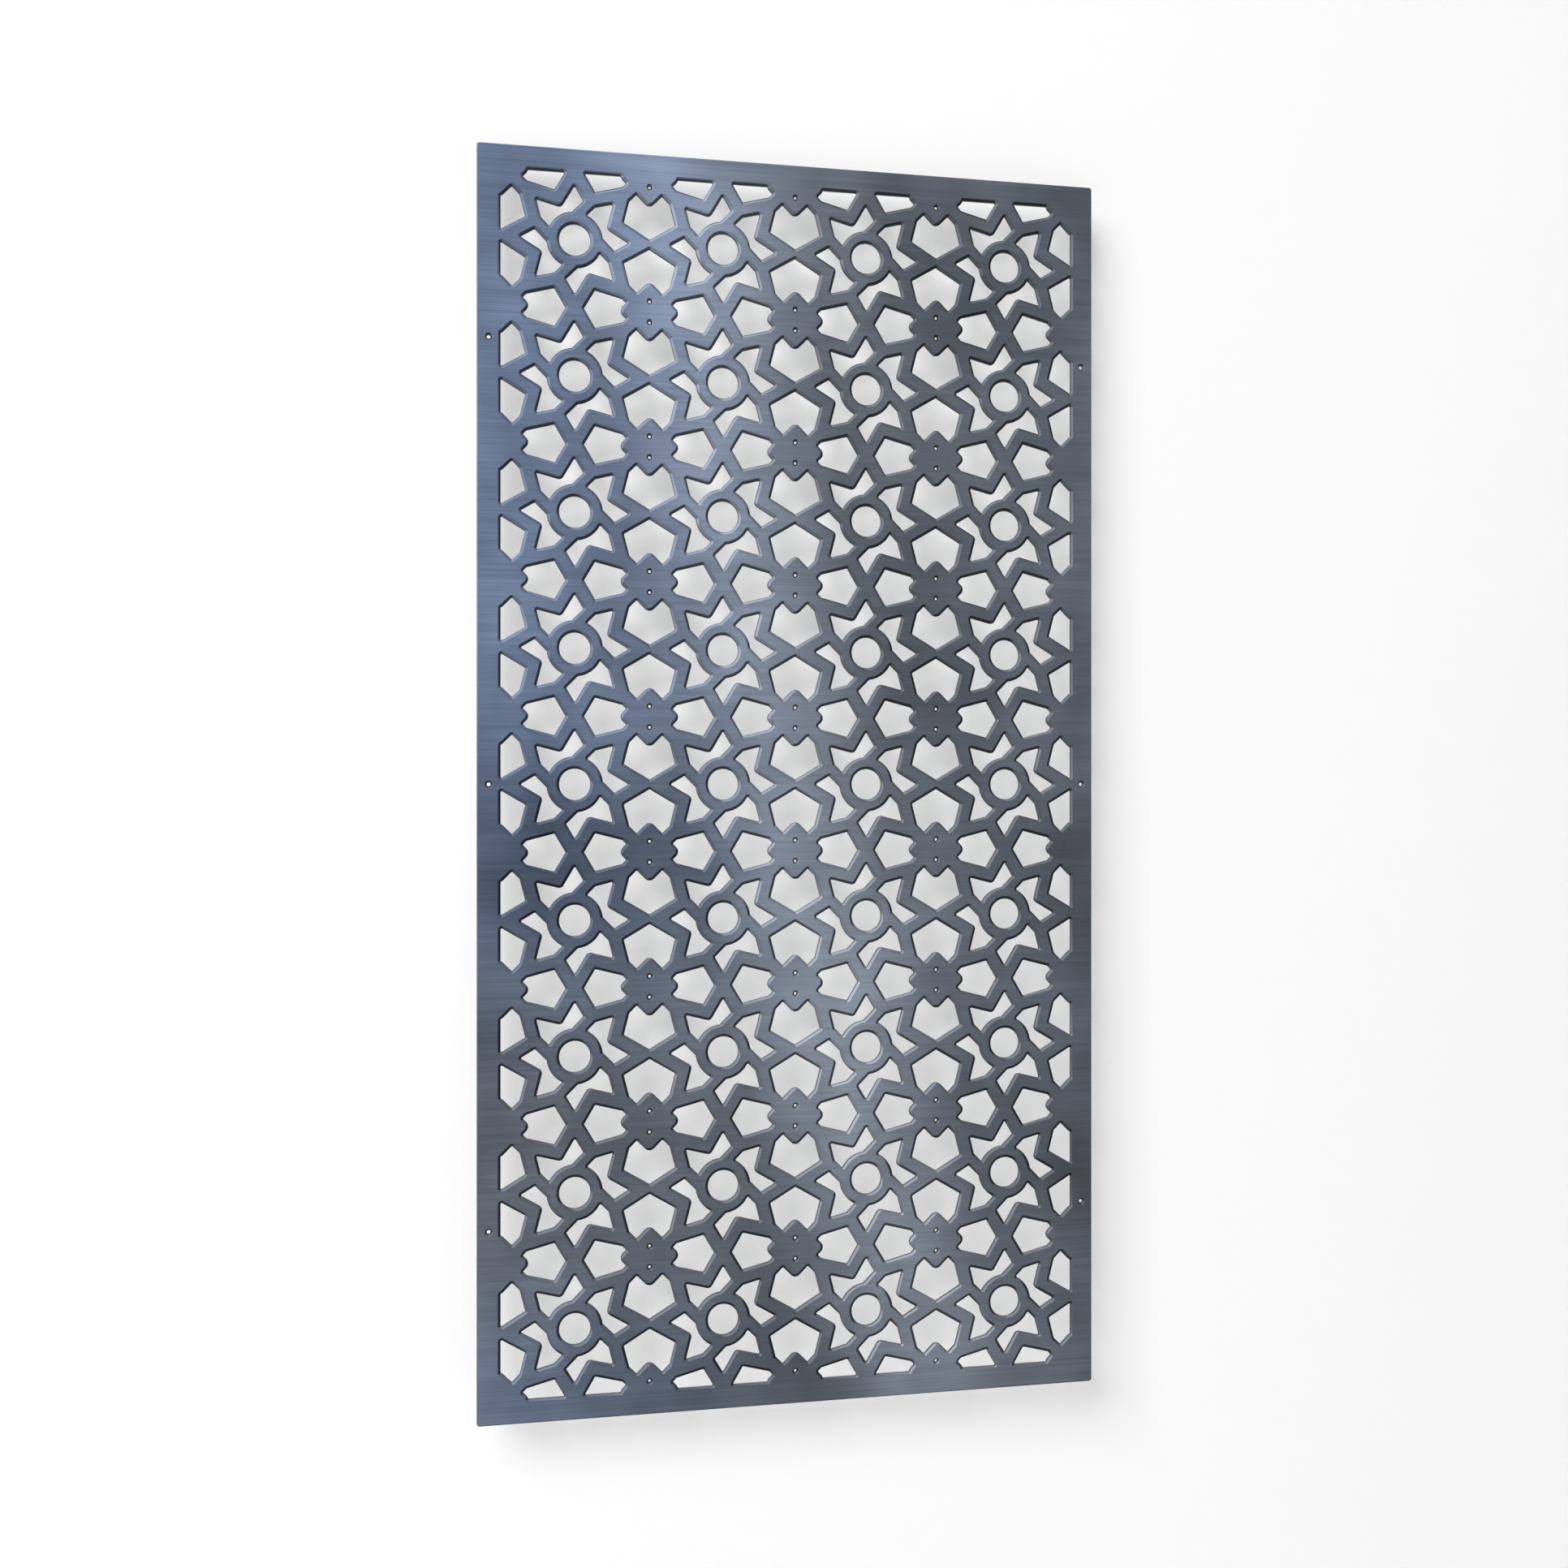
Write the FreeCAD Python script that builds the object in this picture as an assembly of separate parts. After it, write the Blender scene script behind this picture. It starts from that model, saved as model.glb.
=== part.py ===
import FreeCAD, Part
import math
import os

# A privacy screen cut from one steel plate: rows of rings, each in an eight-point star, with
# four-petal medallions between them. X runs across the plate, Z up, and its front faces -Y.
# The origin is the middle of the back face. All sizes are in millimetres.

# Plate
PLATE_THICKNESS = 6.0
COLUMNS = 4
ROWS = 9
BORDER = 33.2
PLATE_CORNER_RADIUS = 4.0

# How far the border reaches over the outermost cells
TRIM_ACROSS = 2.7
TRIM_UP = 1.4

# Bevel along the front edge of every cut, a smaller one round the plate's rim, and the radius that
# a cut leaves in a corner
BEVEL_WIDTH = 4.0
BEVEL_DEPTH = 2.0
RIM_BEVEL_WIDTH = 1.2
RIM_BEVEL_DEPTH = 1.2
CUT_RADIUS = 1.5

# Eight-point star round each ring, and the space between the tips of neighbouring stars
STAR_TIP_RADIUS = 77.0
STAR_DENT_RADIUS = 49.0
STAR_GAP_ACROSS = 60.0
STAR_GAP_UP = 39.5
DENT_RADIUS = 3.0
STAR_POINTS = 8

# Ring in the middle of each star, held by four slanted spokes
RING_BORE_RADIUS = 22.3
RING_WALL = 17.7
SPOKE_WIDTH = 18.0
SPOKE_OFFSET = 22.2
SPOKES = 4

# Straps between stars and petals, and the medallions where the straps cross
STRAP_WIDTH = 21.3
STRAP_SHIFT_SHARE = 0.7
MEDALLION_REACH = 45.0
NUB_RADIUS = 5.0

# Small holes in the medallions, and screw holes in the side borders
PIN_HOLE_RADIUS = 2.15
PIN_HOLE_SPACING = 30.0
SCREW_HOLE_RADIUS = 2.75
SCREW_HOLE_PITCH = 630.0
SCREW_HOLES_PER_SIDE = 3
COUNTERSINK_WIDTH = 2.5
COUNTERSINK_DEPTH = 2.5

# Sizes that follow
CELL_WIDTH = 2 * STAR_TIP_RADIUS + STAR_GAP_ACROSS
CELL_HEIGHT = 2 * STAR_TIP_RADIUS + STAR_GAP_UP
FIELD_WIDTH = COLUMNS * CELL_WIDTH
FIELD_HEIGHT = ROWS * CELL_HEIGHT
PLATE_WIDTH = FIELD_WIDTH + 2 * (BORDER - TRIM_ACROSS)
PLATE_HEIGHT = FIELD_HEIGHT + 2 * (BORDER - TRIM_UP)
RING_RADIUS = RING_BORE_RADIUS + RING_WALL
STRAP_SHIFT = STRAP_SHIFT_SHARE * (CELL_WIDTH - CELL_HEIGHT) / 2 * math.cos(math.pi / 4)
JOIN_TOLERANCE = 1e-6
RIGHT_ANGLE = math.pi / 2
DIAGONAL = math.pi / 4


# An outline runs anticlockwise round an opening. Its straight sides are pairs: the angle of the
# side's outward normal, and how far out it lies. Its arcs are centre x, centre z, signed radius,
# and the first and last angle of the outward normal. A negative radius is metal poking in.

def side_between(start, end, shift=0):
    """The straight side from start to end, moved outward by shift."""
    angle = math.atan2(end[1] - start[1], end[0] - start[0]) - RIGHT_ANGLE
    reach = start[0] * math.cos(angle) + start[1] * math.sin(angle)
    return angle, reach + shift


def mirrored_across(side):
    """A side's mirror image about the line x = 0."""
    return math.pi - side[0], side[1]


def turn_between(first, last):
    """The turn from one normal to the next, from minus half a circle to half a circle."""
    return math.remainder(last - first, 2 * math.pi)


def crossing(first, second, inset):
    """The point that lies inset inside two straight sides."""
    (a, reach_a), (b, reach_b) = first, second
    depth_a = reach_a - inset
    depth_b = reach_b - inset
    spread = math.sin(b - a)
    x = (depth_a * math.sin(b) - depth_b * math.sin(a)) / spread
    z = (depth_b * math.cos(a) - depth_a * math.cos(b)) / spread
    return x, z


def rounded_corner(first, second, inner_radius, nub_radius):
    """The arc between two straight sides. Metal that pokes in keeps nub_radius inside its bevel."""
    turn = turn_between(first[0], second[0])
    radius = inner_radius if turn > 0 else -(nub_radius + BEVEL_WIDTH)
    x, z = crossing(first, second, radius)
    return x, z, radius, first[0], first[0] + turn


def corner_at_disc(side, disc, radius, onto_disc):
    """The arc between a straight side and a disc of metal, at the side's far end or near end."""
    angle, reach = side
    x, z, disc_radius = disc
    off = reach - radius - x * math.cos(angle) - z * math.sin(angle)
    along = math.sqrt((disc_radius + radius) ** 2 - off ** 2)
    if onto_disc:
        along = -along
    arc_x = x + off * math.cos(angle) - along * math.sin(angle)
    arc_z = z + off * math.sin(angle) + along * math.cos(angle)
    contact = math.atan2(z - arc_z, x - arc_x)
    if onto_disc:
        return arc_x, arc_z, radius, angle, angle + turn_between(angle, contact)
    return arc_x, arc_z, radius, contact, contact + turn_between(contact, angle)


def disc_arc(disc, before, after):
    """The stretch of a disc's edge between the corner arcs before and after it."""
    first = before[4]
    return disc[0], disc[1], -disc[2], first, first + turn_between(first, after[3])


def polygon(sides, inner_radius, nub_radius):
    """An outline of straight sides with rounded corners."""
    followers = sides[1:] + sides[:1]
    return [rounded_corner(a, b, inner_radius, nub_radius) for a, b in zip(sides, followers)]


def flipped(arcs):
    """An outline's mirror image about the line z = 0, still anticlockwise."""
    return [(x, -z, radius, -last, -first) for x, z, radius, first, last in reversed(arcs)]


def flipped_across(arcs):
    """An outline's mirror image about the line x = 0, still anticlockwise."""
    return [(-x, z, radius, math.pi - last, math.pi - first)
            for x, z, radius, first, last in reversed(arcs)]


def turned(arcs, angle):
    """An outline turned about its own origin."""
    c, s = math.cos(angle), math.sin(angle)
    return [(x * c - z * s, x * s + z * c, radius, first + angle, last + angle)
            for x, z, radius, first, last in arcs]


def swapped(arcs):
    """An outline with x and z changed over, still anticlockwise."""
    return [(z, x, radius, RIGHT_ANGLE - last, RIGHT_ANGLE - first)
            for x, z, radius, first, last in reversed(arcs)]


# Outlines

def star_point(radius, step):
    """A point of the star, in steps of half the angle between its tips."""
    angle = step * math.pi / STAR_POINTS
    return radius * math.cos(angle), radius * math.sin(angle)


def bow_tie():
    """The opening between two spokes: two star tips, one dent, and the ring's edge."""
    tip, next_tip = star_point(STAR_TIP_RADIUS, 0), star_point(STAR_TIP_RADIUS, 2)
    dents = [star_point(STAR_DENT_RADIUS, step) for step in (-1, 1, 3)]
    low_spoke = (DIAGONAL + math.pi, -(SPOKE_OFFSET + SPOKE_WIDTH / 2))
    high_spoke = (DIAGONAL + RIGHT_ANGLE, SPOKE_OFFSET - SPOKE_WIDTH / 2)
    sides = [low_spoke, side_between(dents[0], tip), side_between(tip, dents[1]),
             side_between(dents[1], next_tip), side_between(next_tip, dents[2]), high_spoke]
    arcs = [rounded_corner(a, b, CUT_RADIUS, DENT_RADIUS) for a, b in zip(sides, sides[1:])]
    ring = (0, 0, RING_RADIUS)
    onto_ring = corner_at_disc(high_spoke, ring, CUT_RADIUS, True)
    off_ring = corner_at_disc(low_spoke, ring, CUT_RADIUS, False)
    return arcs + [onto_ring, disc_arc(ring, onto_ring, off_ring), off_ring]


def petal_sides(ring_x, ring_z, strap_shift):
    """The right-hand sides of the petal above a medallion, from its nub up to its far tip."""
    def moved(point):
        return ring_x + point[0], ring_z + point[1]
    near_tip = moved(star_point(STAR_TIP_RADIUS, 10))
    dent = moved(star_point(STAR_DENT_RADIUS, 9))
    far_tip = moved(star_point(STAR_TIP_RADIUS, 8))
    nub = (DIAGONAL + math.pi, -MEDALLION_REACH * math.cos(DIAGONAL))
    arm = (-DIAGONAL, strap_shift - STRAP_WIDTH / 2)
    return [nub, arm, side_between(near_tip, dent, -STRAP_WIDTH), side_between(dent, far_tip, -STRAP_WIDTH)]


def petal(ring_x, ring_z, strap_shift):
    """The whole petal above a medallion."""
    right = petal_sides(ring_x, ring_z, strap_shift)
    left = [mirrored_across(side) for side in reversed(right)]
    return polygon(right + left, CUT_RADIUS, NUB_RADIUS)


def half_petal(ring_x, ring_z, strap_shift, trim):
    """The right half of that petal, cut off straight by the border, which reaches over it by trim."""
    right = petal_sides(ring_x, ring_z, strap_shift)
    border = (math.pi, -trim)
    corners = right + [border]
    arcs = [rounded_corner(a, b, CUT_RADIUS, NUB_RADIUS) for a, b in zip(corners, corners[1:])]
    nub_radius = NUB_RADIUS + BEVEL_WIDTH
    nub = (0, MEDALLION_REACH - nub_radius / math.cos(DIAGONAL), nub_radius)
    at_nub = corner_at_disc(border, nub, CUT_RADIUS, True)
    first = at_nub[4]
    nub_arc = (*nub[:2], -nub_radius, first, first + turn_between(first, right[0][0]))
    return arcs + [at_nub, nub_arc]


# Wires and faces

def point(arc, grow, angle, y):
    """A point on an arc of an outline that has been grown outward."""
    x, z, radius = arc[:3]
    return FreeCAD.Vector(x + (radius + grow) * math.cos(angle), y, z + (radius + grow) * math.sin(angle))


def outline_wire(arcs, grow, y):
    """The closed wire of an outline, grown outward, at depth y."""
    edges = []
    for arc, follower in zip(arcs, arcs[1:] + arcs[:1]):
        start, middle, end = [point(arc, grow, angle, y) for angle in (arc[3], (arc[3] + arc[4]) / 2, arc[4])]
        edges.append(Part.Arc(start, middle, end).toShape())
        following = point(follower, grow, follower[3], y)
        if not end.isEqual(following, JOIN_TOLERANCE):
            edges.append(Part.LineSegment(end, following).toShape())
    return Part.Wire(edges)


def round_wire(radius, y):
    """A full circle at depth y."""
    return Part.Wire([Part.makeCircle(radius, FreeCAD.Vector(0, y, 0), FreeCAD.Vector(0, -1, 0))])


BACK = 0
FRONT = -PLATE_THICKNESS


class Cut:
    """One kind of cut edge: its wires at the back and front faces, and the walls between them."""

    def __init__(self, back, land, front):
        self.back = back
        self.front = front
        self.walls = Part.makeLoft([back, land, front], False, True)

    def at(self, x, z):
        """The two wires and the walls, placed at x and z."""
        group = Part.Compound([self.back, self.front, self.walls])
        group.Placement = FreeCAD.Placement(FreeCAD.Vector(x, 0, z), FreeCAD.Rotation())
        return group.SubShapes


def outline_cut(arcs, grow=BEVEL_WIDTH, depth=BEVEL_DEPTH):
    """The cut of an outline, with its bevel grown to the front."""
    land = FRONT + depth
    return Cut(outline_wire(arcs, 0, BACK), outline_wire(arcs, 0, land), outline_wire(arcs, grow, FRONT))


def round_cut(radius, flare, depth):
    """The cut of a round hole that flares to the front."""
    return Cut(round_wire(radius, BACK), round_wire(radius, FRONT + depth), round_wire(radius + flare, FRONT))


def medallion_places():
    """Column, row, x and z of every medallion, with the cut ones along the field's edges."""
    for column in range(COLUMNS + 1):
        for row in range(ROWS + 1):
            yield column, row, column * CELL_WIDTH - FIELD_WIDTH / 2, row * CELL_HEIGHT - FIELD_HEIGHT / 2


def ring_places():
    """x and z of every ring."""
    for column in range(COLUMNS):
        for row in range(ROWS):
            yield (column + 0.5) * CELL_WIDTH - FIELD_WIDTH / 2, (row + 0.5) * CELL_HEIGHT - FIELD_HEIGHT / 2


def ring_cuts():
    """The bore and the four bow ties of every ring."""
    tie = bow_tie()
    kinds = [outline_cut(turned(tie, spoke * 2 * math.pi / SPOKES)) for spoke in range(SPOKES)]
    kinds.append(round_cut(RING_BORE_RADIUS, BEVEL_WIDTH, BEVEL_DEPTH))
    return [kind.at(x, z) for x, z in ring_places() for kind in kinds]


def petal_cuts():
    """The petals above, below and beside every medallion, cut off along the field's edges."""
    upright = (CELL_WIDTH / 2, CELL_HEIGHT / 2, STRAP_SHIFT)
    level = (CELL_HEIGHT / 2, CELL_WIDTH / 2, -STRAP_SHIFT)
    above = outline_cut(petal(*upright))
    below = outline_cut(flipped(petal(*upright)))
    right = outline_cut(swapped(petal(*level)))
    left = outline_cut(flipped_across(swapped(petal(*level))))
    half = half_petal(*upright, TRIM_ACROSS)
    half_level = swapped(half_petal(*level, TRIM_UP))
    above_halves = {0: outline_cut(half), COLUMNS: outline_cut(flipped_across(half))}
    below_halves = {0: outline_cut(flipped(half)), COLUMNS: outline_cut(flipped(flipped_across(half)))}
    right_halves = {0: outline_cut(half_level), ROWS: outline_cut(flipped(half_level))}
    left_halves = {0: outline_cut(flipped_across(half_level)),
                   ROWS: outline_cut(flipped_across(flipped(half_level)))}
    cuts = []
    for column, row, x, z in medallion_places():
        if row < ROWS:
            cuts.append(above_halves.get(column, above).at(x, z))
        if row > 0:
            cuts.append(below_halves.get(column, below).at(x, z))
        if column < COLUMNS:
            cuts.append(right_halves.get(row, right).at(x, z))
        if column > 0:
            cuts.append(left_halves.get(row, left).at(x, z))
    return cuts


def pin_hole_cuts():
    """The small holes of every medallion off the side borders, inside the field only."""
    hole = round_cut(PIN_HOLE_RADIUS, COUNTERSINK_WIDTH, COUNTERSINK_DEPTH)
    cuts = []
    for column, row, x, z in medallion_places():
        if 0 < column < COLUMNS:
            if row < ROWS:
                cuts.append(hole.at(x, z + PIN_HOLE_SPACING / 2))
            if row > 0:
                cuts.append(hole.at(x, z - PIN_HOLE_SPACING / 2))
    return cuts


def screw_hole_cuts():
    """The screw holes along the middle of both side borders."""
    hole = round_cut(SCREW_HOLE_RADIUS, COUNTERSINK_WIDTH, COUNTERSINK_DEPTH)
    edge = (PLATE_WIDTH - BORDER) / 2
    middle = (SCREW_HOLES_PER_SIDE - 1) / 2
    heights = [(index - middle) * SCREW_HOLE_PITCH for index in range(SCREW_HOLES_PER_SIDE)]
    return [hole.at(x, z) for x in (-edge, edge) for z in heights]


def rim_cut():
    """The plate's own edge, with its bevel drawn in at the front."""
    reaches = [PLATE_WIDTH / 2, PLATE_HEIGHT / 2] * 2
    sides = [(index * RIGHT_ANGLE, reach) for index, reach in enumerate(reaches)]
    outline = polygon(sides, PLATE_CORNER_RADIUS, NUB_RADIUS)
    return outline_cut(outline, -RIM_BEVEL_WIDTH, RIM_BEVEL_DEPTH).at(0, 0)


def flat_face(wires):
    """The flat face inside the first wire, with every other wire cut out of it."""
    face = Part.Face(wires[0])
    face.cutHoles([wire.reversed() for wire in wires[1:]])
    return face


def screen_plate():
    """The whole plate: its two flat faces and the walls of every cut, closed into one solid."""
    cuts = [rim_cut()] + ring_cuts() + petal_cuts() + pin_hole_cuts() + screw_hole_cuts()
    backs, fronts, walls = zip(*cuts)
    skin = Part.Compound([flat_face(backs), flat_face(fronts), *walls])
    skin.sewShape()
    return Part.Solid(skin)


os.makedirs("parts", exist_ok=True)
plate = screen_plate()
plate.exportStep("parts/screen_plate.step")
print("screen_plate", len(plate.Faces), "faces", round(plate.Volume), "cubic mm", plate.BoundBox)
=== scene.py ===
import math
from collections import namedtuple

import bpy
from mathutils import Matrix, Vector
from mathutils.geometry import tessellate_polygon


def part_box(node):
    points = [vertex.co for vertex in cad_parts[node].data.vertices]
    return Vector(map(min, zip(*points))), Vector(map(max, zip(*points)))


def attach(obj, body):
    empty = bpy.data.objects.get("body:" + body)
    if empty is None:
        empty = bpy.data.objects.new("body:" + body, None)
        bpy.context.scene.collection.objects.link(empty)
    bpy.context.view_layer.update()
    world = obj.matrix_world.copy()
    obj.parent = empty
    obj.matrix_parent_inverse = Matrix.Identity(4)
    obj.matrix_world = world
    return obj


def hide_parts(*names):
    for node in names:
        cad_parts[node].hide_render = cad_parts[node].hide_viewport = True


# A brushed steel privacy screen in front of a pale wall. X runs across the plate, Z up, and its
# front faces -Y. All sizes are in metres.

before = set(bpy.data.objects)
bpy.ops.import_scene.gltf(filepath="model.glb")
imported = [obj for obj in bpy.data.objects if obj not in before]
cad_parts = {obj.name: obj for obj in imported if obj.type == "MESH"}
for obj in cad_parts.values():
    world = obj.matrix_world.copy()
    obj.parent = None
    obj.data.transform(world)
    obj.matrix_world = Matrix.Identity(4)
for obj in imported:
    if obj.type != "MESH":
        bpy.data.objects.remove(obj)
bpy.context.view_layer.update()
LOW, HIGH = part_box("screen_plate")

# Plate, measured off the frame
PLATE_WIDTH = HIGH.x - LOW.x
PLATE_HEIGHT = HIGH.z - LOW.z
FRONT = LOW.y
BACK = HIGH.y
COLUMNS = 4
ROWS = 9
PLATE_CORNER_RADIUS = 0.0040

# How far the border reaches over the outermost cells
TRIM_ACROSS = 0.0027
TRIM_UP = 0.0014

# Bevel along the front edge of every cut, how far its two edges are rounded, a smaller bevel round
# the plate's rim, and the radius that a cut leaves in a corner
BEVEL_WIDTH = 0.0040
BEVEL_DEPTH = 0.0020
FACE_ROUNDING = 0.0004
WALL_ROUNDING = 0.0005
RIM_BEVEL_WIDTH = 0.0012
RIM_BEVEL_DEPTH = 0.0012
RIM_ROUNDING = 0.0003
CUT_RADIUS = 0.0015

# Eight-point star round each ring, and the space between the tips of neighbouring stars
STAR_TIP_RADIUS = 0.0770
STAR_DENT_RADIUS = 0.0490
STAR_GAP_ACROSS = 0.0600
STAR_GAP_UP = 0.0395
DENT_RADIUS = 0.0030
STAR_POINTS = 8

# Ring in the middle of each star, held by four slanted spokes
RING_BORE_RADIUS = 0.0223
RING_WALL = 0.0177
SPOKE_WIDTH = 0.0180
SPOKE_OFFSET = 0.0222
SPOKES = 4

# Straps between stars and petals, and the medallions where the straps cross
STRAP_WIDTH = 0.0213
STRAP_SHIFT_SHARE = 0.7
MEDALLION_REACH = 0.0450
NUB_RADIUS = 0.0050

# Small holes in the medallions, and screw holes in the side borders
PIN_HOLE_RADIUS = 0.00215
PIN_HOLE_SPACING = 0.0300
SCREW_HOLE_RADIUS = 0.00275
SCREW_HOLE_PITCH = 0.6300
SCREW_HOLES_PER_SIDE = 3
COUNTERSINK_WIDTH = 0.0025
COUNTERSINK_DEPTH = 0.0025
COUNTERSINK_ROUNDING = 0.0004

# Sizes that follow
CELL_WIDTH = 2 * STAR_TIP_RADIUS + STAR_GAP_ACROSS
CELL_HEIGHT = 2 * STAR_TIP_RADIUS + STAR_GAP_UP
FIELD_WIDTH = COLUMNS * CELL_WIDTH
FIELD_HEIGHT = ROWS * CELL_HEIGHT
BORDER = (PLATE_WIDTH - FIELD_WIDTH) / 2 + TRIM_ACROSS
RING_RADIUS = RING_BORE_RADIUS + RING_WALL
RIGHT_ANGLE = math.pi / 2
DIAGONAL = math.pi / 4
STRAP_SHIFT = STRAP_SHIFT_SHARE * (CELL_WIDTH - CELL_HEIGHT) / 2 * math.cos(DIAGONAL)

# How far a drawn stretch may leave its arc, how close two points count as one, and how many
# stretches round the edge of a face and of a wall
ARC_SAG = 0.00008
MEETING = 1e-7
FACE_STRETCHES = 2
WALL_STRETCHES = 1

# Stage: a wall close behind the plate, whose gap to it grows downward and to the right, and a floor
WALL_GAP = 0.060
WALL_LEAN = math.radians(1.0)
WALL_TURN = math.radians(1.0)
WALL_WIDTH = 8.0
WALL_HEIGHT = 6.0
FLOOR_DROP = 1.2
FLOOR_SIZE = 16.0

# Lamps: one to the upper left, which the plate doesn't mirror, and one behind the plate
KEY_PLACE = Vector((-6.0, -7.2, 6.2))
KEY_SIZE = 6.0
KEY_POWER = 1700
REAR_PLACE = Vector((1.2, 3.0, 1.6))
REAR_SIZE = 2.0
REAR_POWER = 45

# Camera
CAMERA_PLACE = Vector((-0.5525, -2.5093, 0.0005))
CAMERA_TURN = math.radians(-12.064)
LENS = 40.36


# An outline runs anticlockwise round an opening. Its straight sides are pairs: the angle of the
# side's outward normal, and how far out it lies. Its arcs are centre x, centre z, signed radius,
# and the first and last angle of the outward normal. A negative radius is metal poking in.

def side_between(start, end, shift=0):
    """The straight side from start to end, moved outward by shift."""
    angle = math.atan2(end[1] - start[1], end[0] - start[0]) - RIGHT_ANGLE
    reach = start[0] * math.cos(angle) + start[1] * math.sin(angle)
    return angle, reach + shift


def mirrored_across(side):
    """A side's mirror image about the line x = 0."""
    return math.pi - side[0], side[1]


def turn_between(first, last):
    """The turn from one normal to the next, from minus half a circle to half a circle."""
    return math.remainder(last - first, 2 * math.pi)


def crossing(first, second, inset):
    """The point that lies inset inside two straight sides."""
    (a, reach_a), (b, reach_b) = first, second
    depth_a = reach_a - inset
    depth_b = reach_b - inset
    spread = math.sin(b - a)
    x = (depth_a * math.sin(b) - depth_b * math.sin(a)) / spread
    z = (depth_b * math.cos(a) - depth_a * math.cos(b)) / spread
    return x, z


def rounded_corner(first, second, inner_radius, nub_radius):
    """The arc between two straight sides. Metal that pokes in keeps nub_radius inside its bevel."""
    turn = turn_between(first[0], second[0])
    radius = inner_radius if turn > 0 else -(nub_radius + BEVEL_WIDTH)
    x, z = crossing(first, second, radius)
    return x, z, radius, first[0], first[0] + turn


def corner_at_disc(side, disc, radius, onto_disc):
    """The arc between a straight side and a disc of metal, at the side's far end or near end."""
    angle, reach = side
    x, z, disc_radius = disc
    off = reach - radius - x * math.cos(angle) - z * math.sin(angle)
    along = math.sqrt((disc_radius + radius) ** 2 - off ** 2)
    if onto_disc:
        along = -along
    arc_x = x + off * math.cos(angle) - along * math.sin(angle)
    arc_z = z + off * math.sin(angle) + along * math.cos(angle)
    contact = math.atan2(z - arc_z, x - arc_x)
    if onto_disc:
        return arc_x, arc_z, radius, angle, angle + turn_between(angle, contact)
    return arc_x, arc_z, radius, contact, contact + turn_between(contact, angle)


def disc_arc(disc, before, after):
    """The stretch of a disc's edge between the corner arcs before and after it."""
    first = before[4]
    return disc[0], disc[1], -disc[2], first, first + turn_between(first, after[3])


def polygon(sides, inner_radius, nub_radius):
    """An outline of straight sides with rounded corners."""
    followers = sides[1:] + sides[:1]
    return [rounded_corner(a, b, inner_radius, nub_radius) for a, b in zip(sides, followers)]


def flipped(arcs):
    """An outline's mirror image about the line z = 0, still anticlockwise."""
    return [(x, -z, radius, -last, -first) for x, z, radius, first, last in reversed(arcs)]


def flipped_across(arcs):
    """An outline's mirror image about the line x = 0, still anticlockwise."""
    return [(-x, z, radius, math.pi - last, math.pi - first)
            for x, z, radius, first, last in reversed(arcs)]


def turned(arcs, angle):
    """An outline turned about its own origin."""
    c, s = math.cos(angle), math.sin(angle)
    return [(x * c - z * s, x * s + z * c, radius, first + angle, last + angle)
            for x, z, radius, first, last in arcs]


def swapped(arcs):
    """An outline with x and z changed over, still anticlockwise."""
    return [(z, x, radius, RIGHT_ANGLE - last, RIGHT_ANGLE - first)
            for x, z, radius, first, last in reversed(arcs)]


# Outlines

def star_point(radius, step):
    """A point of the star, in steps of half the angle between its tips."""
    angle = step * math.pi / STAR_POINTS
    return radius * math.cos(angle), radius * math.sin(angle)


def bow_tie():
    """The opening between two spokes: two star tips, one dent, and the ring's edge."""
    tip, next_tip = star_point(STAR_TIP_RADIUS, 0), star_point(STAR_TIP_RADIUS, 2)
    dents = [star_point(STAR_DENT_RADIUS, step) for step in (-1, 1, 3)]
    low_spoke = (DIAGONAL + math.pi, -(SPOKE_OFFSET + SPOKE_WIDTH / 2))
    high_spoke = (DIAGONAL + RIGHT_ANGLE, SPOKE_OFFSET - SPOKE_WIDTH / 2)
    sides = [low_spoke, side_between(dents[0], tip), side_between(tip, dents[1]),
             side_between(dents[1], next_tip), side_between(next_tip, dents[2]), high_spoke]
    arcs = [rounded_corner(a, b, CUT_RADIUS, DENT_RADIUS) for a, b in zip(sides, sides[1:])]
    ring = (0, 0, RING_RADIUS)
    onto_ring = corner_at_disc(high_spoke, ring, CUT_RADIUS, True)
    off_ring = corner_at_disc(low_spoke, ring, CUT_RADIUS, False)
    return arcs + [onto_ring, disc_arc(ring, onto_ring, off_ring), off_ring]


def petal_sides(ring_x, ring_z, strap_shift):
    """The right-hand sides of the petal above a medallion, from its nub up to its far tip."""
    def moved(point):
        return ring_x + point[0], ring_z + point[1]
    near_tip = moved(star_point(STAR_TIP_RADIUS, 10))
    dent = moved(star_point(STAR_DENT_RADIUS, 9))
    far_tip = moved(star_point(STAR_TIP_RADIUS, 8))
    nub = (DIAGONAL + math.pi, -MEDALLION_REACH * math.cos(DIAGONAL))
    arm = (-DIAGONAL, strap_shift - STRAP_WIDTH / 2)
    near_side = side_between(near_tip, dent, -STRAP_WIDTH)
    far_side = side_between(dent, far_tip, -STRAP_WIDTH)
    return [nub, arm, near_side, far_side]


def petal(ring_x, ring_z, strap_shift):
    """The whole petal above a medallion."""
    right = petal_sides(ring_x, ring_z, strap_shift)
    left = [mirrored_across(side) for side in reversed(right)]
    return polygon(right + left, CUT_RADIUS, NUB_RADIUS)


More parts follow.
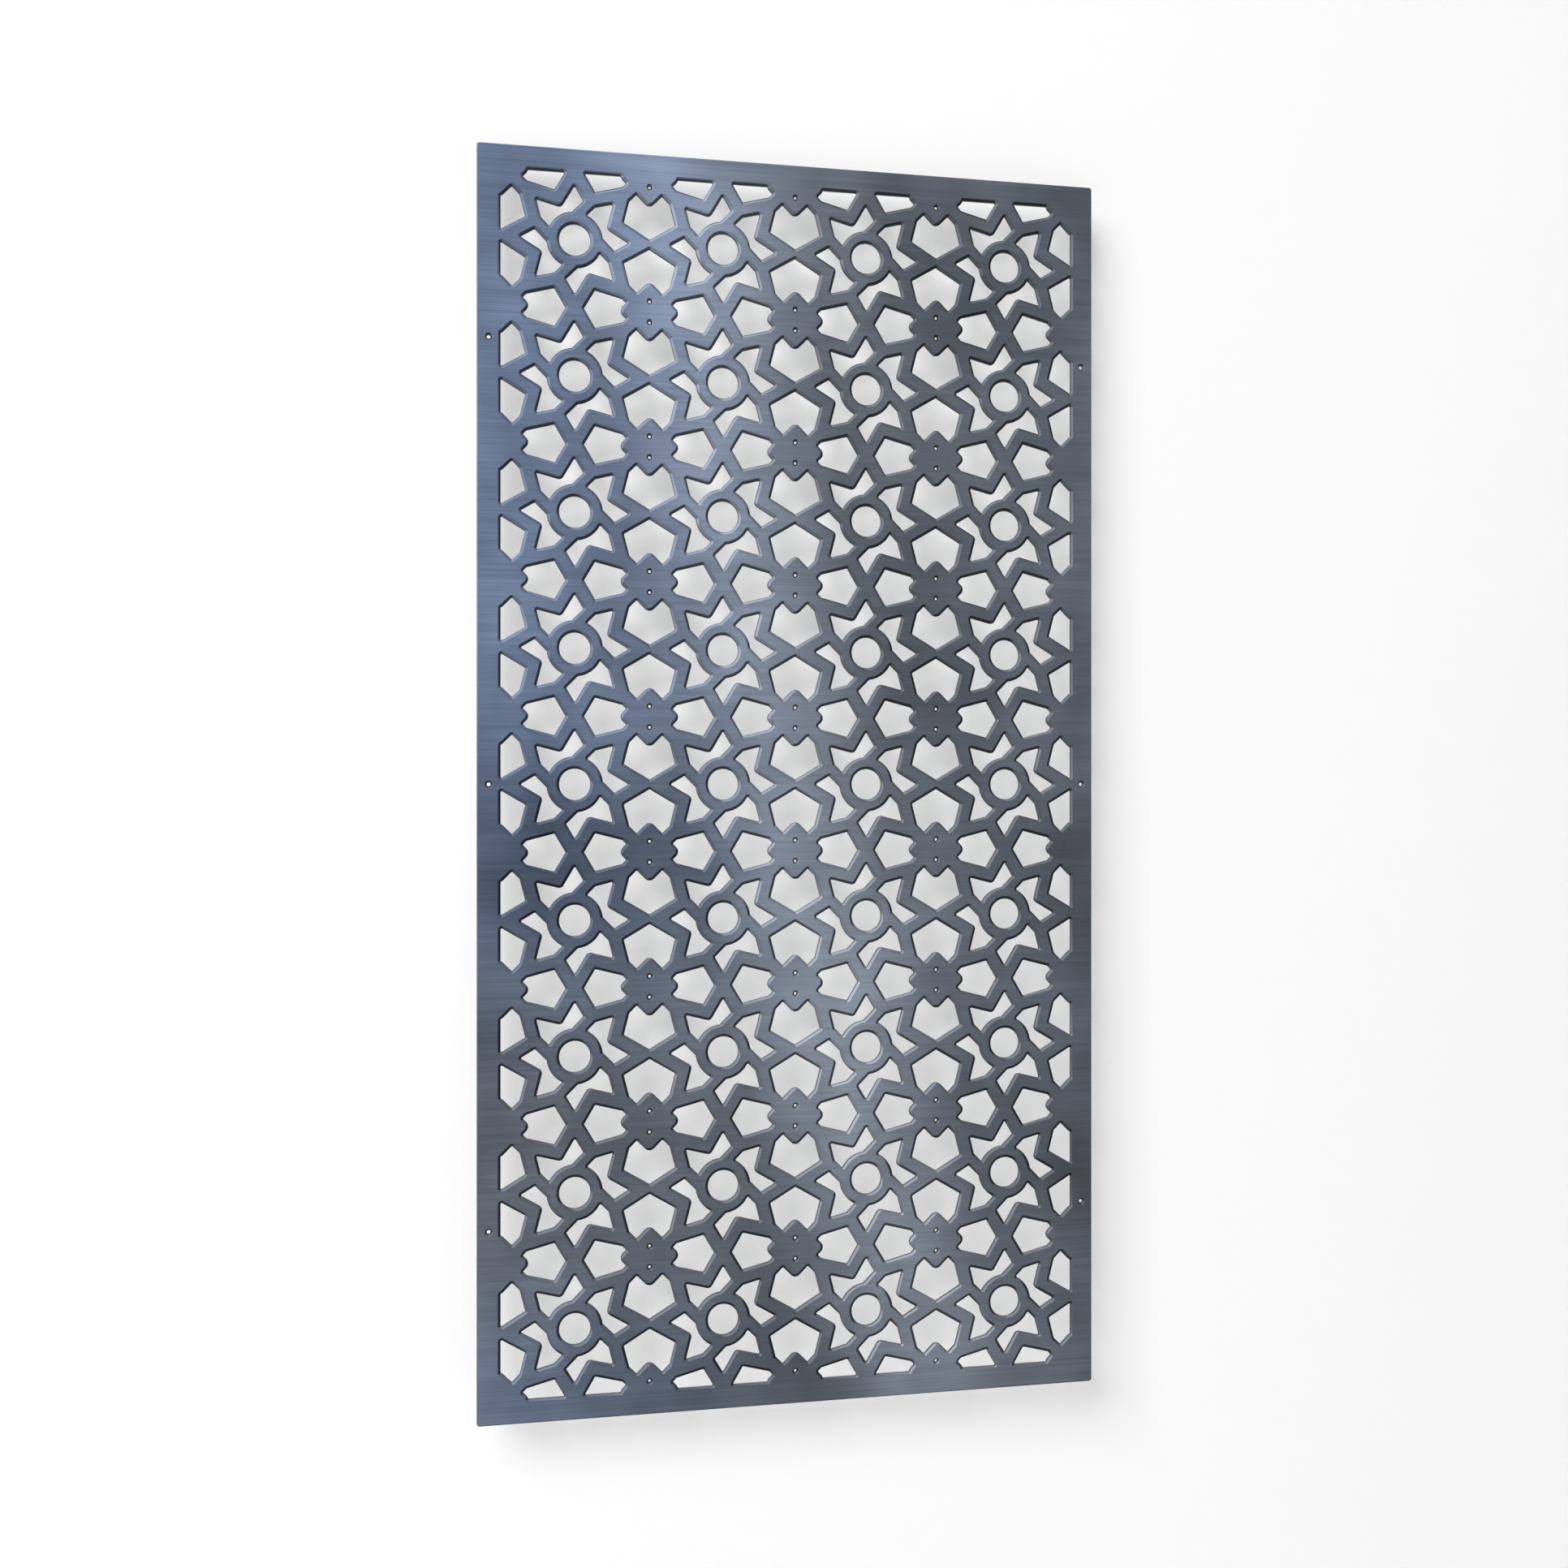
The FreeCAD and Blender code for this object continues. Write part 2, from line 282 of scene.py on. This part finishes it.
def half_petal(ring_x, ring_z, strap_shift, trim):
    """The right half of that petal, cut off straight by the border, which reaches over it by trim."""
    right = petal_sides(ring_x, ring_z, strap_shift)
    border = (math.pi, -trim)
    corners = right + [border]
    arcs = [rounded_corner(a, b, CUT_RADIUS, NUB_RADIUS) for a, b in zip(corners, corners[1:])]
    nub_radius = NUB_RADIUS + BEVEL_WIDTH
    nub = (0, MEDALLION_REACH - nub_radius / math.cos(DIAGONAL), nub_radius)
    at_nub = corner_at_disc(border, nub, CUT_RADIUS, True)
    first = at_nub[4]
    nub_arc = (*nub[:2], -nub_radius, first, first + turn_between(first, right[0][0]))
    return arcs + [at_nub, nub_arc]


def circle(radius):
    """The outline of a round hole."""
    return [(0, 0, radius, 0, 2 * math.pi)]


def rim():
    """The plate's own outline."""
    reaches = [PLATE_WIDTH / 2, PLATE_HEIGHT / 2] * 2
    sides = [(index * RIGHT_ANGLE, reach) for index, reach in enumerate(reaches)]
    return polygon(sides, PLATE_CORNER_RADIUS, NUB_RADIUS)


# Where each outline is cut

def medallion_places():
    """Column, row, x and z of every medallion, with the cut ones along the field's edges."""
    for column in range(COLUMNS + 1):
        for row in range(ROWS + 1):
            x = column * CELL_WIDTH - FIELD_WIDTH / 2
            z = row * CELL_HEIGHT - FIELD_HEIGHT / 2
            yield column, row, x, z


def ring_openings():
    """The bore and the four bow ties of every ring: outline, x and z."""
    tie = bow_tie()
    outlines = [turned(tie, spoke * 2 * math.pi / SPOKES) for spoke in range(SPOKES)]
    outlines.append(circle(RING_BORE_RADIUS))
    for column in range(COLUMNS):
        for row in range(ROWS):
            x = (column + 1 / 2) * CELL_WIDTH - FIELD_WIDTH / 2
            z = (row + 1 / 2) * CELL_HEIGHT - FIELD_HEIGHT / 2
            for outline in outlines:
                yield outline, x, z


def petal_openings():
    """The petals above, below and beside every medallion, cut off along the field's edges."""
    upright = (CELL_WIDTH / 2, CELL_HEIGHT / 2, STRAP_SHIFT)
    level = (CELL_HEIGHT / 2, CELL_WIDTH / 2, -STRAP_SHIFT)
    above = petal(*upright)
    right = swapped(petal(*level))
    half = half_petal(*upright, TRIM_ACROSS)
    half_level = swapped(half_petal(*level, TRIM_UP))
    above_halves = {0: half, COLUMNS: flipped_across(half)}
    right_halves = {0: half_level, ROWS: flipped(half_level)}
    for column, row, x, z in medallion_places():
        upward = above_halves.get(column, above)
        sideways = right_halves.get(row, right)
        if row < ROWS:
            yield upward, x, z
        if row > 0:
            yield flipped(upward), x, z
        if column < COLUMNS:
            yield sideways, x, z
        if column > 0:
            yield flipped_across(sideways), x, z


def small_holes():
    """The pin holes of the medallions inside the field, and the screw holes of the side borders."""
    pin = circle(PIN_HOLE_RADIUS)
    for column, row, x, z in medallion_places():
        if 0 < column < COLUMNS:
            if row < ROWS:
                yield pin, x, z + PIN_HOLE_SPACING / 2
            if row > 0:
                yield pin, x, z - PIN_HOLE_SPACING / 2
    screw = circle(SCREW_HOLE_RADIUS)
    edge = (PLATE_WIDTH - BORDER) / 2
    middle = (SCREW_HOLES_PER_SIDE - 1) / 2
    for index in range(SCREW_HOLES_PER_SIDE):
        height = (index - middle) * SCREW_HOLE_PITCH
        yield screw, -edge, height
        yield screw, edge, height


# Mesh

FACE, BEVEL, WALL, REAR = range(4)


def eased(before, corner, after, length, steps):
    """Points that round a corner of a profile, from length before it to length after it."""
    corner = Vector(corner)
    start = corner + (Vector(before) - corner).normalized() * length
    end = corner + (Vector(after) - corner).normalized() * length
    points = []
    for step in range(steps + 1):
        share = step / steps
        points.append(start.lerp(corner, share).lerp(corner.lerp(end, share), share))
    return points


def edge_profile(width, depth, face_rounding, wall_rounding):
    """How far a cut has grown, and its depth, from the front face down the bevel to the back."""
    outside = (2 * width, FRONT)
    brink = (width, FRONT)
    land = (0, FRONT + depth)
    end = (0, BACK)
    bevel = eased(outside, brink, land, face_rounding, FACE_STRETCHES)
    wall = eased(brink, land, end, wall_rounding, WALL_STRETCHES)
    return [*bevel, *wall, Vector(end)], [BEVEL] * len(bevel) + [WALL] * len(wall)


def stations(arcs, grow):
    """Points to draw along an outline: centre, radius and angle, with no point twice."""
    marks = []
    for x, z, radius, first, last in arcs:
        widest = abs(radius) + abs(grow)
        step = 2 * math.acos(1 - ARC_SAG / widest)
        count = math.ceil(abs(last - first) / step)
        marks += [(x, z, radius, first + (last - first) * index / count) for index in range(count + 1)]
    spots = [Vector((x + radius * math.cos(angle), z + radius * math.sin(angle)))
             for x, z, radius, angle in marks]
    return [mark for index, mark in enumerate(marks)
            if (spots[index] - spots[index - 1]).length > MEETING]


class Skin:
    """The plate's points and faces, and the loops that bound its two flat faces."""

    def __init__(self):
        self.points = []
        self.faces = []
        self.kinds = []
        self.front_loops = []
        self.back_loops = []

    def cut(self, arcs, x, z, profile, sign=1):
        """Add the edge of one outline. The rim takes sign -1, because its bevel grows inward."""
        steps, kinds = profile
        marks = stations(arcs, steps[0].x)
        count = len(marks)
        loops = []
        for step in steps:
            first = len(self.points)
            loops.append(range(first, first + count))
            for centre_x, centre_z, radius, angle in marks:
                reach = radius + sign * step.x
                self.points.append((x + centre_x + reach * math.cos(angle), step.y,
                                    z + centre_z + reach * math.sin(angle)))
        for upper, lower, kind in zip(loops, loops[1:], kinds):
            for index in range(count):
                corners = (upper[index - 1], upper[index], lower[index], lower[index - 1])
                self.faces.append(corners if sign > 0 else corners[::-1])
                self.kinds.append(kind)
        self.front_loops.append(loops[0])
        self.back_loops.append(loops[-1])

    def fill(self, loops, kind, facing):
        """Close a flat face between the rim's loop and every other loop."""
        indices = [index for loop in loops for index in loop]
        outlines = [[(self.points[i][0], self.points[i][2], 0) for i in loop] for loop in loops]
        for triangle in tessellate_polygon(outlines):
            a, b, c = [indices[corner] for corner in triangle]
            (ax, _, az), (bx, _, bz), (cx, _, cz) = self.points[a], self.points[b], self.points[c]
            toward_front = (bx - ax) * (cz - az) - (bz - az) * (cx - ax) > 0
            self.faces.append((a, b, c) if toward_front == (facing < 0) else (a, c, b))
            self.kinds.append(kind)


def build_plate():
    """The plate's mesh, with every opening's edge bevelled and eased."""
    skin = Skin()
    cut_edge = edge_profile(BEVEL_WIDTH, BEVEL_DEPTH, FACE_ROUNDING, WALL_ROUNDING)
    flare = edge_profile(COUNTERSINK_WIDTH, COUNTERSINK_DEPTH,
                         COUNTERSINK_ROUNDING, COUNTERSINK_ROUNDING)
    rim_edge = edge_profile(RIM_BEVEL_WIDTH, RIM_BEVEL_DEPTH, RIM_ROUNDING, RIM_ROUNDING)
    skin.cut(rim(), 0, 0, rim_edge, -1)
    for outline, x, z in [*ring_openings(), *petal_openings()]:
        skin.cut(outline, x, z, cut_edge)
    for outline, x, z in small_holes():
        skin.cut(outline, x, z, flare)
    skin.fill(skin.front_loops, FACE, -1)
    skin.fill(skin.back_loops, REAR, 1)
    mesh = bpy.data.meshes.new("plate")
    mesh.from_pydata(skin.points, [], skin.faces)
    mesh.polygons.foreach_set("material_index", skin.kinds)
    mesh.polygons.foreach_set("use_smooth", [kind in (BEVEL, WALL) for kind in skin.kinds])
    mesh.update()
    plate = bpy.data.objects.new("plate", mesh)
    bpy.context.scene.collection.objects.link(plate)
    return plate


# Materials

# Colours of the front, of its bevels, of the cut walls and of the back. The blue ones are a painted
# reflection: a bluish cast on the left that stands in for bluish light mirrored in the steel
STEEL = (0.126, 0.145, 0.176)
BLUE_REFLECTION_STEEL = (0.136, 0.181, 0.274)
BARE_STEEL = (0.095, 0.106, 0.125)
BLUE_REFLECTION_BARE_STEEL = (0.102, 0.133, 0.196)
CUT_STEEL = (0.060, 0.062, 0.067)
MILL_STEEL = (0.165, 0.175, 0.190)

# The painted blue reflection of the left side fades toward the right, and gives way to grey in a belt
# across it
BLUE_REFLECTION_FADE = (-0.46, 0.08)
GREY_BELT_HEIGHT = -0.55
GREY_BELT_FADE = (0.06, 0.48)

# A painted reflection leans across the front as a light band: where its middle crosses Z = 0, how far
# it leans in a metre, how far it reaches to each side, and how bright it is
SHEEN_BAND_PLACE = -0.012
SHEEN_BAND_LEAN = 0.215
SHEEN_BAND_REACH = 0.18
SHEEN_BAND_BRIGHTNESS = 1.76

# Painted reflections and painted shade: soft patches on the front, brighter where their middle is above
# 1 and darker below it: x, z, radius, and how bright their middle is
PAINTED_REFLECTION_AND_SHADE_PATCHES = (
    (-0.43, 0.90, 0.24, 0.90),
    (-0.01, 0.78, 0.19, 1.42),
    (0.16, 0.90, 0.12, 0.80),
    (0.02, -0.34, 0.28, 1.30),
    (0.21, -0.22, 0.20, 1.22),
    (-0.44, 0.22, 0.18, 1.14),
    (-0.38, -0.10, 0.24, 0.52),
    (-0.22, -0.12, 0.17, 0.80),
    (-0.22, 0.11, 0.12, 1.14),
    (-0.44, -0.36, 0.14, 0.76),
    (-0.43, -0.80, 0.24, 1.22),
    (-0.22, -0.88, 0.20, 0.87),
    (0.00, -0.86, 0.18, 0.82),
    (0.28, -0.72, 0.26, 1.22),
    (0.36, -0.93, 0.20, 1.22),
    (0.25, 0.72, 0.20, 0.64),
    (0.18, 0.29, 0.21, 0.76),
    (0.22, 0.10, 0.15, 0.76),
    (0.45, 0.88, 0.20, 0.72),
    (0.44, 0.18, 0.16, 0.84),
    (0.44, -0.16, 0.20, 0.64),
    (0.45, -0.56, 0.22, 0.70),
)

# Patterns: how many waves a metre holds along X, Y and Z, how many finer layers lie on them, and how
# dark and how light they make the steel
Pattern = namedtuple("Pattern", "waves layers shades")
STREAKS = Pattern((4, 4, 520), 2, (0.89, 1.11))
BROAD_STREAKS = Pattern((1.2, 1.2, 110), 1, (0.94, 1.06))
CLOUDS = Pattern((9, 9, 9), 2, (0.88, 1.12))
BEVEL_LINES = Pattern((650, 20, 650), 1, (0.90, 1.10))
CUT_LINES = Pattern((650, 20, 650), 1, (0.75, 1.25))
ROLL_LINES = Pattern((260, 260, 5), 2, (0.93, 1.07))
MILL_CLOUDS = Pattern((9, 9, 9), 3, (0.82, 1.18))

# The part of a pattern's range where most of it lies
MIDDLE = (0.3, 0.7)

# How deep the patterns go into the surface
STREAK_HEIGHT = 0.00005
CUT_LINE_HEIGHT = 0.0002

# How rough each surface is, and how far a pattern changes that
BRUSHED_ROUGHNESS = 0.4
BRUSHED_ROUGHNESS_SPAN = (0.36, 0.48)
BEVEL_ROUGHNESS = 0.18
CUT_ROUGHNESS = 0.5
MILL_ROUGHNESS = 0.5
MILL_ROUGHNESS_SPAN = (0.42, 0.58)

# How metallic the dull cut walls are, how much the brushing draws out reflections, and in which
# direction, in turns
CUT_METAL_SHARE = 0.8
BRUSHING_SHARE = 0.5
BRUSHING_TURN_SHARE = 0.25


class Nodes:
    """A tree of shader nodes, added one at a time."""

    def __init__(self, tree):
        self.tree = tree

    def node(self, kind, **settings):
        """A new node with some of its settings changed."""
        made = self.tree.nodes.new("ShaderNode" + kind)
        for name, value in settings.items():
            setattr(made, name, value)
        return made

    def join(self, output, socket):
        """Link an output to a socket."""
        self.tree.links.new(output, socket)

    def spread(self, value, span, low, high):
        """A value's span stretched smoothly from low to high."""
        node = self.node("MapRange", interpolation_type="SMOOTHSTEP")
        for name, number in zip(("From Min", "From Max", "To Min", "To Max"), (*span, low, high)):
            node.inputs[name].default_value = number
        self.join(value, node.inputs["Value"])
        return node.outputs["Result"]

    def combined(self, operation, first, *others):
        """Several values put together by an operation."""
        for other in others:
            node = self.node("Math", operation=operation)
            self.join(first, node.inputs[0])
            self.join(other, node.inputs[1])
            first = node.outputs["Value"]
        return first

    def product(self, *values):
        """Several values multiplied."""
        return self.combined("MULTIPLY", *values)

    def mixed(self, share, first, second):
        """Two shaders mixed by a share."""
        mix = self.node("MixShader")
        self.join(share, mix.inputs["Fac"])
        self.join(first, mix.inputs[1])
        self.join(second, mix.inputs[2])
        return mix.outputs["Shader"]


class Paint(Nodes):
    """A material's nodes."""

    def __init__(self, name, colour, metallic, roughness):
        self.material = bpy.data.materials.new(name)
        self.material.use_nodes = True
        super().__init__(self.material.node_tree)
        self.main = self.tree.nodes["Principled BSDF"]
        self.main.inputs["Base Color"].default_value = (*colour, 1)
        self.main.inputs["Metallic"].default_value = metallic
        self.main.inputs["Roughness"].default_value = roughness

    def place(self):
        """Places on the object, in metres."""
        return self.node("TexCoord").outputs["Object"]

    def noise(self, pattern):
        """The noise of a pattern."""
        stretch = self.node("VectorMath", operation="MULTIPLY")
        stretch.inputs[1].default_value = pattern.waves
        texture = self.node("TexNoise")
        texture.inputs["Scale"].default_value = 1
        texture.inputs["Detail"].default_value = pattern.layers
        self.join(self.place(), stretch.inputs[0])
        self.join(stretch.outputs["Vector"], texture.inputs["Vector"])
        return texture.outputs["Fac"]

    def shades(self, noise, pattern):
        """How dark and light the noise of a pattern makes the surface."""
        return self.spread(noise, MIDDLE, *pattern.shades)

    def roughen(self, noise, span):
        """Let noise make the surface smoother and rougher."""
        self.join(self.spread(noise, MIDDLE, *span), self.main.inputs["Roughness"])

    def along(self, axis):
        """Places along one axis, in metres."""
        parts = self.node("SeparateXYZ")
        self.join(self.place(), parts.inputs["Vector"])
        return parts.outputs[axis]

    def sloped(self, first, second, slope):
        """The first value and slope times the second."""
        node = self.node("Math", operation="MULTIPLY_ADD")
        self.join(second, node.inputs[0])
        node.inputs[1].default_value = slope
        self.join(first, node.inputs[2])
        return node.outputs["Value"]

    def distance(self, value, place):
        """How far a value lies from a place."""
        away = self.node("Math", operation="SUBTRACT")
        self.join(value, away.inputs[0])
        away.inputs[1].default_value = place
        size = self.node("Math", operation="ABSOLUTE")
        self.join(away.outputs["Value"], size.inputs[0])
        return size.outputs["Value"]

    def patch(self, x, z, radius, bright):
        """1 everywhere but in a soft round patch, which paints reflection above 1 and shade below 1."""
        away = self.node("VectorMath", operation="DISTANCE")
        away.inputs[1].default_value = (x, FRONT, z)
        self.join(self.place(), away.inputs[0])
        return self.spread(away.outputs["Value"], (0, radius), bright, 1)

    def between(self, share, first, last):
        """A colour that goes from first to last by a share."""
        ramp = self.node("ValToRGB")
        ramp.color_ramp.elements[0].color = (*first, 1)
        ramp.color_ramp.elements[1].color = (*last, 1)
        self.join(share, ramp.inputs["Fac"])
        return ramp.outputs["Color"]

    def colour(self, tint, value):
        """Colour the surface with a tint, or the output of one, made lighter and darker by a value."""
        scaled = self.node("VectorMath", operation="SCALE")
        if isinstance(tint, tuple):
            scaled.inputs[0].default_value = tint
        else:
            self.join(tint, scaled.inputs[0])
        self.join(value, scaled.inputs["Scale"])
        self.join(scaled.outputs["Vector"], self.main.inputs["Base Color"])

    def relief(self, value, height):
        """Raise and lower the surface by a value."""
        bump = self.node("Bump")
        bump.inputs["Distance"].default_value = height
        self.join(value, bump.inputs["Height"])
        self.join(bump.outputs["Normal"], self.main.inputs["Normal"])


def clouded(paint, grey, blue_reflection_tint, *marks):
    """Colour a surface of the front: a painted blue reflection on the left, clouds, a painted
    reflection in a light band, soft patches of painted reflection and painted shade, and some marks.
    """
    shades = [*marks, paint.shades(paint.noise(CLOUDS), CLOUDS)]
    # Painted reflections and painted shade: the soft patches
    shades += [paint.patch(*patch) for patch in PAINTED_REFLECTION_AND_SHADE_PATCHES]
    x = paint.along("X")
    z = paint.along("Z")
    # Painted reflection: a bright band leaning across the front
    sheen_band = paint.distance(paint.sloped(x, z, SHEEN_BAND_LEAN), SHEEN_BAND_PLACE)
    shades.append(paint.spread(sheen_band, (0, SHEEN_BAND_REACH), SHEEN_BAND_BRIGHTNESS, 1))
    # Where the painted blue reflection shows: strong on the left, gone in the grey belt
    belt = paint.distance(z, GREY_BELT_HEIGHT)
    share = paint.product(paint.spread(x, BLUE_REFLECTION_FADE, 1, 0), paint.spread(belt, GREY_BELT_FADE, 0, 1))
    paint.colour(paint.between(share, grey, blue_reflection_tint), paint.product(*shades))


def brushed_steel():
    """The front: steel brushed along the width."""
    paint = Paint("brushed_steel", STEEL, 1, BRUSHED_ROUGHNESS)
    paint.main.inputs["Anisotropic"].default_value = BRUSHING_SHARE
    paint.main.inputs["Anisotropic Rotation"].default_value = BRUSHING_TURN_SHARE
    streaks = paint.noise(STREAKS)
    broad_streaks = paint.noise(BROAD_STREAKS)
    # Painted reflections and painted shade join the real streaks and clouds here
    clouded(paint, STEEL, BLUE_REFLECTION_STEEL,
            paint.shades(streaks, STREAKS), paint.shades(broad_streaks, BROAD_STREAKS))
    paint.roughen(streaks, BRUSHED_ROUGHNESS_SPAN)
    paint.relief(streaks, STREAK_HEIGHT)
    return paint.material


def bare_steel():
    """The bevels along the cuts and the rim: faint marks under the same clouds, painted blue
    reflection, painted reflection band and painted shade patches as the front.
    """
    paint = Paint("bare_steel", BARE_STEEL, 1, BEVEL_ROUGHNESS)
    lines = paint.noise(BEVEL_LINES)
    # Painted reflections and painted shade join the real marks and clouds here
    clouded(paint, BARE_STEEL, BLUE_REFLECTION_BARE_STEEL, paint.shades(lines, BEVEL_LINES))
    return paint.material


def cut_steel():
    """The walls of the cuts: dark, with fine lines through the thickness."""
    paint = Paint("cut_steel", CUT_STEEL, CUT_METAL_SHARE, CUT_ROUGHNESS)
    lines = paint.noise(CUT_LINES)
    paint.colour(CUT_STEEL, paint.shades(lines, CUT_LINES))
    paint.relief(lines, CUT_LINE_HEIGHT)
    return paint.material


def mill_steel():
    """The back: plain rolled steel, clouded, with lines along the height."""
    paint = Paint("mill_steel", MILL_STEEL, 1, MILL_ROUGHNESS)
    lines = paint.noise(ROLL_LINES)
    clouds = paint.noise(MILL_CLOUDS)
    shades = paint.product(paint.shades(lines, ROLL_LINES), paint.shades(clouds, MILL_CLOUDS))
    paint.colour(MILL_STEEL, shades)
    paint.roughen(clouds, MILL_ROUGHNESS_SPAN)
    return paint.material


# Stage, lights and camera

# Paint of the wall and the floor, the rays that see it glow, and how much it glows
PALE = (0.8, 0.8, 0.8)
WHITE = (1, 1, 1)
SEEN_RAYS = ("Is Camera Ray", "Is Glossy Ray", "Is Transmission Ray")
WALL_GLOW_SHARE = 0.44
FLOOR_GLOW_SHARE = 0.85

# The surround is brightest toward the upper left, and shaded toward the lower right except behind.
# A span says where a change starts and ends: 0 is square to a side, and 1 points straight at it.
BRIGHT_SIDE = Vector((-0.70, -0.10, 0.70)).normalized()
BRIGHT_SPAN = (0.36, 0.62)
BRIGHT_LEVEL = 2.3
SHADED_SIDE = Vector((0.667, 0.333, -0.667)).normalized()
SHADED_SPAN = (0.17, 0.28)
SHADED_LEVEL = 0.22
REARWARD = Vector((0, 1, 0))
REARWARD_SPAN = (0.35, 0.60)
EVEN_LEVEL = 0.2


def sheet(name, width, height):
    """A flat sheet about its own middle, facing +Z, that is no part of the screen."""
    x, y = width / 2, height / 2
    mesh = bpy.data.meshes.new(name)
    mesh.from_pydata([(-x, -y, 0), (x, -y, 0), (x, y, 0), (-x, y, 0)], [], [(0, 1, 2, 3)])
    piece = bpy.data.objects.new(name, mesh)
    bpy.context.scene.collection.objects.link(piece)
    return piece


def stage_paint(name, glow_share):
    """Dull white paint that also glows, by a share, where it is seen straight or in a reflection."""
    paint = Paint(name, PALE, 0, 1)
    paint.main.inputs["Specular IOR Level"].default_value = 0
    glow = paint.node("Emission")
    glow.inputs["Color"].default_value = (*WHITE, 1)
    path = paint.node("LightPath")
    seen = paint.combined("MAXIMUM", *[path.outputs[ray] for ray in SEEN_RAYS])
    share = paint.spread(seen, (0, 1), 0, glow_share)
    lit = paint.mixed(share, paint.main.outputs["BSDF"], glow.outputs["Emission"])
    paint.join(lit, paint.tree.nodes["Material Output"].inputs["Surface"])
    return paint, lit


def wall_paint():
    """White paint that takes the plate's shadow and is seen from the front only."""
    paint, lit = stage_paint("wall_paint", WALL_GLOW_SHARE)
    clear = paint.node("BsdfTransparent")
    behind = paint.node("NewGeometry").outputs["Backfacing"]
    sided = paint.mixed(behind, lit, clear.outputs["BSDF"])
    paint.join(sided, paint.tree.nodes["Material Output"].inputs["Surface"])
    return paint.material


def floor_paint():
    """White paint."""
    paint, _ = stage_paint("floor_paint", FLOOR_GLOW_SHARE)
    return paint.material


def build_stage():
    """A wall close behind the plate and a floor below it."""
    wall = sheet("wall", WALL_WIDTH, WALL_HEIGHT)
    wall.location = (0, BACK + WALL_GAP, 0)
    wall.rotation_euler = (RIGHT_ANGLE + WALL_LEAN, 0, WALL_TURN)
    wall.visible_shadow = False
    wall.visible_glossy = False
    wall.data.materials.append(wall_paint())
    floor = sheet("floor", FLOOR_SIZE, FLOOR_SIZE)
    floor.location = (0, 0, LOW.z - FLOOR_DROP)
    floor.visible_glossy = False
    floor.data.materials.append(floor_paint())


def lamp(name, place, size, power, mirrored):
    """A soft square lamp aimed at the middle of the plate, and mirrored in it or not."""
    light = bpy.data.lights.new(name, "AREA")
    light.shape = "SQUARE"
    light.size = size
    light.energy = power
    piece = bpy.data.objects.new(name, light)
    piece.location = place
    piece.rotation_euler = (-place).to_track_quat("-Z", "Y").to_euler()
    piece.visible_camera = False
    piece.visible_glossy = mirrored
    bpy.context.scene.collection.objects.link(piece)


def background(nodes, *levels):
    """A white background as bright as several levels multiplied."""
    shader = nodes.node("Background")
    shader.inputs["Color"].default_value = (*WHITE, 1)
    nodes.join(nodes.product(*levels), shader.inputs["Strength"])
    return shader.outputs["Background"]


def toward(nodes, side):
    """How far a direction of the surround points toward a side."""
    node = nodes.node("VectorMath", operation="DOT_PRODUCT")
    node.inputs[1].default_value = side
    nodes.join(nodes.node("TexCoord").outputs["Generated"], node.inputs[0])
    return node.outputs["Value"]


def build_surround():
    """White where it is seen straight, and for the plate a surround with a bright and a shaded side."""
    world = bpy.data.worlds.new("surround")
    world.use_nodes = True
    bpy.context.scene.world = world
    nodes = Nodes(world.node_tree)
    white = nodes.tree.nodes["Background"]
    white.inputs["Color"].default_value = (*WHITE, 1)
    shaded = toward(nodes, SHADED_SIDE)
    bright = toward(nodes, BRIGHT_SIDE)
    even = background(nodes, nodes.spread(shaded, SHADED_SPAN, EVEN_LEVEL, EVEN_LEVEL * SHADED_LEVEL))
    rearward = nodes.spread(toward(nodes, REARWARD), REARWARD_SPAN, 0, 1)
    shade = nodes.combined("MAXIMUM", nodes.spread(shaded, SHADED_SPAN, 1, SHADED_LEVEL), rearward)
    mirrored = background(nodes, shade, nodes.spread(bright, BRIGHT_SPAN, 1, BRIGHT_LEVEL))
    path = nodes.node("LightPath")
    lit = nodes.mixed(path.outputs["Is Glossy Ray"], even, mirrored)
    shown = nodes.mixed(path.outputs["Is Camera Ray"], lit, white.outputs["Background"])
    nodes.join(shown, nodes.tree.nodes["World Output"].inputs["Surface"])


def build_camera():
    """The view of the front from a little to its left."""
    camera = bpy.data.objects.new("camera", bpy.data.cameras.new("camera"))
    camera.data.lens = LENS
    camera.location = CAMERA_PLACE
    camera.rotation_euler = (RIGHT_ANGLE, 0, CAMERA_TURN)
    bpy.context.scene.collection.objects.link(camera)
    bpy.context.scene.camera = camera


plate = build_plate()
for material in (brushed_steel(), bare_steel(), cut_steel(), mill_steel()):
    plate.data.materials.append(material)
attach(plate, "root")
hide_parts("screen_plate")
build_stage()
lamp("key", KEY_PLACE, KEY_SIZE, KEY_POWER, False)
lamp("rear", REAR_PLACE, REAR_SIZE, REAR_POWER, True)
build_surround()
build_camera()
bpy.context.scene.view_settings.view_transform = "Standard"
